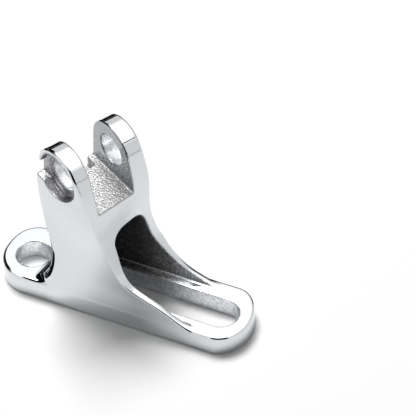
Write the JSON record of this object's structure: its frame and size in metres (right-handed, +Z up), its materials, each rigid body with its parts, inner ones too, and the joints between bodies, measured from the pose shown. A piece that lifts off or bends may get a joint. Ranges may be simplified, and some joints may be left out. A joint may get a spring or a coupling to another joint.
{
  "type": "deck hinge body",
  "caption": "Cast polished stainless deck hinge body: slotted foot with a screw hole, hollow leaning tower and a skewed clevis with a pivot bore.",
  "frame": {"origin": "centre of the object's box on the foot's underside, where it stands", "axes": "+Z up from the surface it is screwed to, +X along the foot from the screw hole to the slot, +Y across the foot to the ear with the plain hole"},
  "size_m": [0.062, 0.0226, 0.0491],
  "materials": {
    "hinge_body": "mirror polished stainless steel, as cast inside the hollow and on the clevis floor"
  },
  "bodies": {
    "root": {"hinge_body": "hinge_body"}
  },
  "joints": []
}
